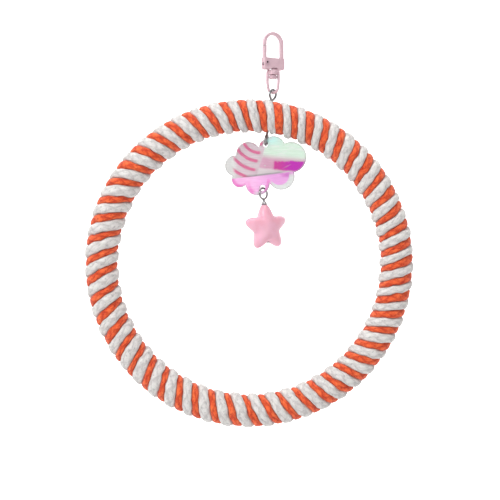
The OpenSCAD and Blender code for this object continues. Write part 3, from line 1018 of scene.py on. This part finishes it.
@dataclass
class Hanger(SubAssembly):
    """Wire through the ring, with a drop shaped eye at each end."""

    ring: Winding
    body: Body = Body.HOOP
    wire: float = 1.3 * MM
    top_mid: float = 2.55 * MM
    low_mid: float = 2.4 * MM
    top_rise: float = 3.4 * MM
    low_drop: float = 3.7 * MM
    rope_out: float = 9.8 * MM
    top_yaw: float = 45.0
    low_yaw: float = 18.0
    # How far the wire's end comes back to its shank
    close_share: float = 0.62
    bow_steps: int = 40
    leg_steps: int = 8
    back_steps: int = 6
    shank_steps: int = 26

    def eye(self, mid: float, height: float) -> np.ndarray:
        """Draws a drop shaped eye.

        Args:
            mid: Radius of the bow's middle line.
            height: Height of the bow's middle from the shank.

        Returns:
            Points from the shank round and back, in the eye's own plane.
        """
        beta = math.degrees(math.asin(mid / height))
        bow = arc((0, 0), mid, 180 + beta, -beta, self.bow_steps)
        foot = np.array([[0.0, -height]])
        back = bow[-1] + self.close_share * (foot[0] - bow[-1])
        leg_in = foot + (bow[0] - foot) * np.linspace(0, 1, self.leg_steps)[:-1, None]
        leg_out = bow[-1] + (back - bow[-1]) * np.linspace(0, 1, self.back_steps)[1:, None]
        return np.concatenate([leg_in, bow, leg_out])

    def build(self, steel: Material) -> None:
        """Makes the wire in one length.

        Args:
            steel: Its finish.
        """
        half = self.wire / 2
        top_r = self.ring.ring_r + self.rope_out + self.top_rise
        low_r = self.ring.ring_r - self.rope_out - self.low_drop
        low = self.eye(self.low_mid, self.low_drop + half)[::-1]
        top = self.eye(self.top_mid, self.top_rise + half)
        parts = []
        eyes = (low, self.low_yaw, low_r, -1), (top, self.top_yaw, top_r, 1)
        for flat, yaw, base, sign in eyes:
            parts.append(upright(flat * (1, sign) + (0, base), yaw))
        shares = np.linspace(0, 1, self.shank_steps)[1:-1, None]
        shank = parts[0][-1] + (parts[1][0] - parts[0][-1]) * shares
        route = np.concatenate([parts[0], shank, parts[1]])
        mesh = sweep(route, half, 20).mesh("hanger_eyes")
        self.add(mesh, steel, "hanger_steel", ["hanger_wire"], place=self.ring.place())


@dataclass
class Swivel(SubAssembly):
    """Collar that turns on the clasp's rivet, with the long loop below it."""

    body: Body = Body.SWIVEL
    wire: float = 1.55 * MM
    line_r: float = 0.65 * MM
    width: float = 7.9 * MM
    foot_in: float = 1.9 * MM
    taper: float = 7.4 * MM
    collar_d: float = 5.5 * MM
    collar_h: float = 2.65 * MM
    bore: float = 2.12 * MM
    edge: float = 0.25 * MM
    # Where the wire leaves the collar, in degrees, and how it thickens towards it
    shoulder_deg: float = 78.0
    swell_share: float = 0.25
    swell_points: int = 12

    def outline(self, shoulder_z: float, wide_z: float, foot_z: float) -> np.ndarray:
        """Draws the middle line of the loop's wire.

        Args:
            shoulder_z: Height of the middle of the shoulders' bend.
            wide_z: Height from which the loop tapers.
            foot_z: Height of the line's lowest point.

        Returns:
            Points from one side of the collar round to the other.
        """
        a = self.width / 2 - self.wire / 2
        rb = self.foot_in + self.wire / 2
        rs = (a * a + (self.taper - rb) ** 2 - rb * rb) / (2 * (a - rb))
        turn = math.degrees(math.atan2(self.taper - rb, rs - a))
        r = self.wire
        half = np.concatenate([
            arc((a - r, shoulder_z), r, self.shoulder_deg, 0, 14),
            arc((a - rs, wide_z), rs, 0, -turn, 30),
            arc((0, foot_z + rb), rb, -turn, -90, 18)[1:]])
        return upright(np.concatenate([half, half[-2::-1] * (-1, 1)]))

    def build(self, paint: Material) -> None:
        """Makes the collar and the loop as one casting.

        Args:
            paint: Its finish.
        """
        low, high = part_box("swivel_loop")
        top = high.z
        foot = top - self.collar_h
        r, hole, edge = self.collar_d / 2, self.bore / 2, self.edge
        bow = edge * 0.3
        profile = [(hole, foot), (r - edge, foot), (r - bow, foot + bow), (r, foot + edge),
                   (r, top - edge), (r - bow, top - bow), (r - edge, top), (hole, top)]
        collar = turned(profile, 72, hollow=True)
        foot_z = low.z + self.line_r
        route = self.outline(foot + self.collar_h / 3, foot_z + self.taper, foot_z)
        order = np.arange(len(route))
        ends = np.minimum(order, order[::-1]) / self.swell_points
        girth = self.wire / 2 * (1 + self.swell_share * np.exp(-(ends ** 2) * 3))
        loop = sweep(route, girth, 24)
        mesh = join(collar.mesh("swivel_collar_loop"), loop.mesh("loop_wire"))
        made = self.add(mesh, paint, "clasp_paint", ["swivel_loop"])
        made.modifiers.new("Normals", "WEIGHTED_NORMAL")


@dataclass
class Clasp(SubAssembly):
    """Hook with its gate, spring and rivets."""

    body: Body = Body.CLASP
    edge: float = 0.28 * MM

    def build(self, paint: Material, rivet: Material, spring: Material) -> None:
        """Finishes the hook's own nodes where they are.

        Args:
            paint: Finish of the hook and the gate.
            rivet: Finish of the rivets.
            spring: Finish of the gate's spring.
        """
        self.dress_node("clasp_body", paint, "clasp_paint", self.edge)
        self.dress_node("clasp_gate", paint, "clasp_paint", self.edge)
        self.dress_node("gate_rivet", rivet, "rivet_paint")
        self.dress_node("swivel_rivet", rivet, "rivet_paint")
        self.dress_node("gate_spring", spring, "spring_steel")


@dataclass
class CloudCharm(SubAssembly):
    """Clear plate in the outline of a cloud."""

    body: Body = Body.CLOUD
    width: float = 47 * MM
    thick: float = 3 * MM
    edge: float = 0.9 * MM
    yaw: float = 12.0
    top_hole_d: float = 3.2 * MM
    low_hole_d: float = 3.4 * MM
    # Places and radii of the lobes, and the places of the two holes, as shares of the width
    lobes: tuple[Place, ...] = (
        (-0.375, 0.007, 0.127), (-0.212, 0.143, 0.151), (0.1, 0.21, 0.147), (0.316, 0.096, 0.186),
        (0.197, -0.132, 0.163), (-0.097, -0.208, 0.151), (-0.317, -0.16, 0.101))
    top_hole: tuple[float, float] = (0.004, 0.257)
    low_hole: tuple[float, float] = (-0.033, -0.27)
    neck: tuple[Place, ...] = ((0.0, 0.24, 0.075), (-0.032, 0.19, 0.068))
    # Rows of the plate's face between its middle and its rim
    face_shares: tuple[float, ...] = (
        0.03, 0.12, 0.24, 0.36, 0.48, 0.58, 0.68, 0.76, 0.83, 0.89, 0.94, 0.975)
    # The notches between the lobes: points on each side that soften them, and how far
    notch_points: int = 3
    notch_share: float = 0.004

    def place(self) -> Matrix:
        """Frame of the plate.

        Returns:
            What sets its lower hole on the joint's axis, turned as it hangs.
        """
        low_hole = Vector(joint("star_swing")["pos_m"])
        turn = Matrix.Rotation(math.radians(-self.yaw), 4, "Z")
        arm = Vector((self.low_hole[0] * self.width, 0, self.low_hole[1] * self.width))
        return Matrix.Translation(low_hole) @ turn @ Matrix.Translation(-arm)

    def outline(self, steps: int) -> np.ndarray:
        """Distance of the rim from the plate's middle.

        Args:
            steps: Directions round the plate.

        Returns:
            The distance in each direction, with the notches slightly softened.
        """
        a = circle(steps)
        way = np.stack([np.cos(a), np.sin(a)], 1)
        reach = np.full(steps, 0.1)
        for x, z, r in (*self.lobes, *self.neck):
            along = way @ np.array([x, z])
            room = r * r - (x * x + z * z - along ** 2)
            hit = np.where(room > 0, along + np.sqrt(np.maximum(room, 0)), 0)
            reach = np.maximum(reach, hit)
        n = self.notch_points
        soft = sum(np.roll(reach, k) for k in range(-n, n + 1)) / (2 * n + 1)
        return np.minimum(reach, soft + self.notch_share) * self.width

    def plate(self, steps: int = 540) -> Mesh:
        """Builds the plate with rounded rims as a closed surface.

        Args:
            steps: Points round the rim.

        Returns:
            The mesh, with its flat coordinates.
        """
        reach = self.outline(steps)
        a = circle(steps)
        rim = np.stack([reach * np.cos(a), reach * np.sin(a)], 1)
        along = np.roll(rim, -2, 0) - np.roll(rim, 2, 0)
        inward = np.stack([-along[:, 1], along[:, 0]], 1)
        inward /= np.linalg.norm(inward, axis=1, keepdims=True)
        rows = []
        half, e = self.thick / 2, self.edge
        face = rim + inward * e * 1.25
        for k in (*self.face_shares, 1.0):
            rows.append((face * k, -half, e * 1.25 + (1 - k) * reach))
        for t in np.linspace(0, math.pi / 2, 6):
            away = e * (1 - math.sin(t))
            rows.append((rim + inward * away, -half + e * (1 - math.cos(t)), np.full(steps, away)))
        rows += [(flat, -y, inside) for flat, y, inside in rows[::-1]]
        points = np.stack([np.stack([f[:, 0], np.full(steps, y), f[:, 1]], 1) for f, y, _ in rows])
        closed = np.concatenate([points, points[:, :1]], 1) / self.width
        inside = np.stack([np.append(row[2], row[2][0]) for row in rows])
        charts = {PLATE_MAP: (closed[..., 0], closed[..., 2]), RIM_MAP: (inside, inside)}
        return Sheet(points, charts=charts).mesh("cloud_plate")

    def build(self, acrylic: Material) -> None:
        """Makes the plate and drills its two holes.

        Args:
            acrylic: Its finish.
        """
        made = self.add(self.plate(), acrylic, "cloud_acrylic", ["cloud_charm"], place=self.place())
        for (x, z), d in ((self.top_hole, self.top_hole_d), (self.low_hole, self.low_hole_d)):
            drill = turned([(d / 2, -self.thick), (d / 2, self.thick)], 48).mesh("drill")
            spot = Matrix.Translation((x * self.width, 0, z * self.width))
            drill.transform(self.place() @ spot @ Matrix.Rotation(math.pi / 2, 4, "X"))
            cut(made, drill)
        made.modifiers.new("Normals", "WEIGHTED_NORMAL")


def cut(piece: bpy.types.Object, drill: Mesh) -> None:
    """Drills a hole in a piece.

    Args:
        piece: The piece, which gets a new mesh under the same name.
        drill: A closed mesh, which is removed.
    """
    tool = put("drill", drill)
    step = piece.modifiers.new("Hole", "BOOLEAN")
    step.operation, step.solver, step.object = "DIFFERENCE", "EXACT", tool
    bpy.context.view_layer.update()
    graph = bpy.context.evaluated_depsgraph_get()
    result = bpy.data.meshes.new_from_object(piece.evaluated_get(graph))
    piece.modifiers.remove(step)
    old, name = piece.data, piece.data.name
    piece.data = result
    bpy.data.objects.remove(tool)
    bpy.data.meshes.remove(drill)
    bpy.data.meshes.remove(old)
    result.name = name


@dataclass
class StarDrop(SubAssembly):
    """Puffed star on a headpin, with a cone shaped cap on its top point."""

    body: Body = Body.STAR
    star_r: float = 13.6 * MM
    notch_r: float = 8.2 * MM
    thick: float = 11.6 * MM
    sharp: float = 0.18 * MM
    dome_r: float = 10.0 * MM
    dome_share: float = 0.85
    flat_share: float = 0.96
    lean: float = 5.0
    yaw: float = 30.0
    ring_d: float = 7.5 * MM
    ring_yaw: float = 43.0
    pin_d: float = 1.15 * MM
    cap_h: float = 3.2 * MM
    cap_d: float = 3.8 * MM
    cap_top: float = 1.9 * MM
    head_d: float = 2.2 * MM
    head_h: float = 0.5 * MM

    def place(self) -> Matrix:
        """Frame of the chain: the cloud's lower hole, leaned as it hangs."""
        hole = Matrix.Translation(joint("star_swing")["pos_m"])
        return hole @ Matrix.Rotation(math.radians(-self.lean), 4, "Y")

    def star(self, steps: int = 200, bands: int = 64) -> Mesh:
        """Builds the puffed star round its middle.

        Args:
            steps: Points round the star.
            bands: Rows from its front to its back.

        Returns:
            The mesh.
        """
        waist = (self.star_r - self.notch_r) / 2
        a = circle(steps)
        b = np.linspace(-math.pi / 2, math.pi / 2, bands + 1)[:, None]
        out = self.star_r - waist - self.sharp + waist * np.cos(5 * a) + self.sharp * np.cos(10 * a)
        flat = np.cos(b)
        tall = self.thick / 2 * np.sin(b) + 0 * a
        dome = self.dome_share * np.sin(b) ** 2
        out = out * (1 - dome) + self.dome_r * dome
        points = np.stack([out * np.sin(a) * flat, tall, out * np.cos(a) * flat], -1)
        top = self.star_r * self.flat_share
        points[..., 2] = np.minimum(points[..., 2], top)
        return Sheet(points[1:-1]).mesh("star_puffed")

    def cap(self, foot: float) -> Sheet:
        """Turns the cone shaped cap.

        Args:
            foot: Height of its seat on the star.

        Returns:
            Its surface.
        """
        r, t = self.cap_d / 2, self.cap_top / 2
        hole = self.pin_d / 2 + 0.06 * MM
        tall = self.cap_h - self.pin_d
        profile = [(hole, 0.05 * MM), (r - 0.1 * MM, 0.05 * MM), (r, 0.15 * MM), (r, 0.4 * MM),
                   (r - 0.25 * MM, 0.55 * MM), (r - 0.55 * MM, 0.75 * MM),
                   (t + 0.12 * MM, tall - 0.5 * MM), (t, tall - 0.25 * MM),
                   (t - 0.1 * MM, tall), (hole, tall)]
        return turned([(x, foot + z) for x, z in profile], 48, hollow=True)

    def pin(self, ring_z: float, head_z: float) -> Mesh:
        """Builds the headpin: a ring, a stem and a head.

        Args:
            ring_z: Height of the ring's middle.
            head_z: Height of the head's seat.

        Returns:
            The mesh.
        """
        ring_mid = self.ring_d / 2 - self.pin_d / 2
        bow = arc((0, ring_z), ring_mid, -90, 270, 72)[:-1]
        route = upright(bow, self.ring_yaw)
        ring = sweep(route, self.pin_d / 2, 18, loop=True).mesh("headpin")
        r, h, edge = self.head_d / 2, self.pin_d / 2, 0.12 * MM
        foot = head_z - self.head_h
        stem = turned([(0.02 * MM, foot), (r - edge, foot), (r, foot + edge),
                       (r, head_z - 0.1 * MM), (h, head_z), (h, ring_z - ring_mid)], 24)
        return join(ring, stem.mesh("stem"))

    def build(self, pearl: Material, metal: Material) -> None:
        """Makes the bead, its cap and its headpin.

        Args:
            pearl: Finish of the bead.
            metal: Finish of the cap and the headpin.
        """
        place = self.place()
        ring_z = self.pin_d / 2 - self.ring_d / 2
        top_z = 2 * ring_z - self.cap_h
        mid_z = top_z - self.star_r * self.flat_share
        turn = Matrix.Translation((0, 0, mid_z)) @ Matrix.Rotation(math.radians(self.yaw), 4, "Z")
        cap = self.cap(top_z).mesh("star_cone_cap")
        pin = self.pin(ring_z, mid_z - self.notch_r - 0.1 * MM)
        self.add(self.star(), pearl, "star_plastic", ["star_bead"], place=place @ turn)
        self.add(cap, metal, "charm_metal", ["star_cap"], place=place)
        self.add(pin, metal, "charm_metal", ["star_pin"], place=place)


@dataclass
class Studio:
    """Pale floor and backdrop, soft lights, and the camera in front of the swing."""

    view_width: float = 285.35 * MM
    distance: float = 600 * MM
    aim_x: float = -13.13 * MM
    aim_z: float = -117.77 * MM
    sensor: float = 36.0
    floor_z: float = -0.78
    back_y: float = 1.5
    front_y: float = -12.0
    half_w: float = 12.0
    bend_r: float = 0.6
    wall_top: float = 3.0
    # Height above the floor over which the wall's glow sets in, and its strength
    glow_low: float = 0.04
    glow_high: float = 0.16
    glow: float = 0.82
    # Strength of the sky from below and from above, and where it is seen past the wall
    sky_low: float = 0.16
    sky_high: float = 0.55
    sky_seen: float = 0.58
    # Name, place, size and power of each light
    lights: tuple[tuple[str, Place, float, float], ...] = (
        ("key", (-0.85, -0.75, 0.55), 0.7, 9.5),
        ("top", (0.0, -0.2, 1.0), 0.7, 6.0),
        ("fill", (0.6, -1.2, 0.0), 1.0, 2.6),
    )

    def backdrop(self) -> None:
        """Makes the floor and the wall behind as one curved sheet."""
        r = self.bend_r
        line = [(self.front_y, self.floor_z), (self.back_y - r, self.floor_z)]
        bend = arc((self.back_y - r, self.floor_z + r), r, -90, 0, 24)
        path = np.concatenate([line, bend, [(self.back_y, self.wall_top)]])
        x = np.linspace(-self.half_w, self.half_w, 25)
        rows = [np.stack([np.full(len(path), v), path[:, 0], path[:, 1]], 1) for v in x]
        mesh = Sheet(np.stack(rows, 1), ring=False).mesh("floor")
        g = Graph("pale_floor")
        at = g.place()
        grain = g.noise(at, 3.0, 2.0)
        glow = g.height(at).ramp(self.floor_z + self.glow_low, self.floor_z + self.glow_high)
        mesh.materials.append(g.dress(
            Base_Color=g.mix(grain, (0.86, 0.86, 0.86), (0.9, 0.9, 0.9)),
            Roughness=0.9,
            Emission_Color=g.mix(glow, (0.12, 0.12, 0.12), (1.0, 1.0, 1.0)),
            Emission_Strength=self.glow,
        ))
        put("floor", mesh)

    def sky(self) -> None:
        """Makes the soft sky, as pale as the floor's far part where a view looks past the wall."""
        g = Graph("soft_sky", sky=True)
        height = g.height(g.node("ShaderNodeTexCoord", {}, "Generated"))
        values = {"Value": height, "From Min": -0.6, "From Max": 0.8,
                  "To Min": self.sky_low, "To Max": self.sky_high}
        shade = g.node("ShaderNodeMapRange", values, "Result")
        seen = g.node("ShaderNodeLightPath", {}, "Is Camera Ray")
        # Inputs 2 and 3 of the Mix node are its plain numbers
        strength = g.node("ShaderNodeMix", {0: seen, 2: shade, 3: self.sky_seen})
        bpy.context.scene.world = g.dress(Color=(1.0, 1.0, 1.0), Strength=strength)

    def light(self, name: str, at: Sequence[float], size: float, power: float) -> None:
        """Adds a square area light that faces the swing's middle.

        Args:
            name: Its name.
            at: Its place.
            size: Its side.
            power: Its power in watts.
        """
        data = bpy.data.lights.new(name, "AREA")
        data.size, data.energy = size, power
        lamp = put(name, data)
        lamp.location = at
        aim = Vector((self.aim_x, 0, self.aim_z)) - Vector(at)
        lamp.rotation_euler = aim.to_track_quat("-Z", "Y").to_euler()

    def build(self) -> None:
        """Sets the whole studio up."""
        self.backdrop()
        self.sky()
        for light in self.lights:
            self.light(*light)
        data = bpy.data.cameras.new("camera")
        data.sensor_width = self.sensor
        data.lens = self.sensor * self.distance / self.view_width
        data.clip_start = 0.01
        camera = put("camera", data)
        camera.location = (self.aim_x, -self.distance, self.aim_z)
        camera.rotation_euler = (math.pi / 2, 0, 0)
        scene = bpy.context.scene
        scene.camera = camera
        scene.view_settings.view_transform = "Standard"
        LOG.info("studio set")


def main() -> None:
    """Builds the studio and every sub-assembly, from the cage bar down."""
    logging.basicConfig(level=logging.INFO, format="%(name)s: %(message)s")
    Studio().build()
    pink = Paint("clasp_pink", (0.70, 0.48, 0.54), (0.63, 0.42, 0.48), seam_z=-1.42 * MM).make()
    rivet_tones = (0.60, 0.40, 0.46), (0.50, 0.33, 0.38)
    rivet_pink = Paint("rivet_pink", *rivet_tones, gloss=0.42, bore_r=0.5 * MM).make()
    spring = Metal("bright_spring", (0.62, 0.62, 0.64), (0.45, 0.44, 0.44)).make()
    dull = Metal("dull_steel", (0.34, 0.34, 0.35), (0.17, 0.155, 0.15)).make()
    plated = Metal("plated_metal", (0.40, 0.39, 0.40), (0.20, 0.19, 0.19), rough=0.26).make()
    white = Cotton(
        "white_cotton_rope",
        light=(0.78, 0.755, 0.735),
        dark=(0.47, 0.44, 0.43),
        fleck=(0.25, 0.25, 0.26),
        tint=(0.70, 0.72, 0.66),
    ).make()
    orange = Cotton(
        "orange_cotton_rope",
        light=(0.93, 0.145, 0.036),
        dark=(0.46, 0.02, 0.004),
        fleck=(0.30, 0.01, 0.002),
        tint=(0.96, 0.25, 0.08),
        fleck_share=0.6,
    ).make()
    tube = Plastic("tube_plain", (0.6, 0.56, 0.5)).make()
    plug = Plastic("plug_plain", (0.48, 0.4, 0.27)).make()
    acrylic = Iridescent("cloud_iridescent").make()
    pearl = Pearl("star_pink", (0.87, 0.47, 0.59), (0.81, 0.38, 0.49)).make()
    Clasp().build(pink, rivet_pink, spring)
    Swivel().build(pink)
    ring = Winding()
    ring.build(white, orange, tube, plug)
    Hanger(ring).build(dull)
    CloudCharm().build(acrylic)
    StarDrop().build(pearl, plated)


if __name__ == "__main__":
    main()
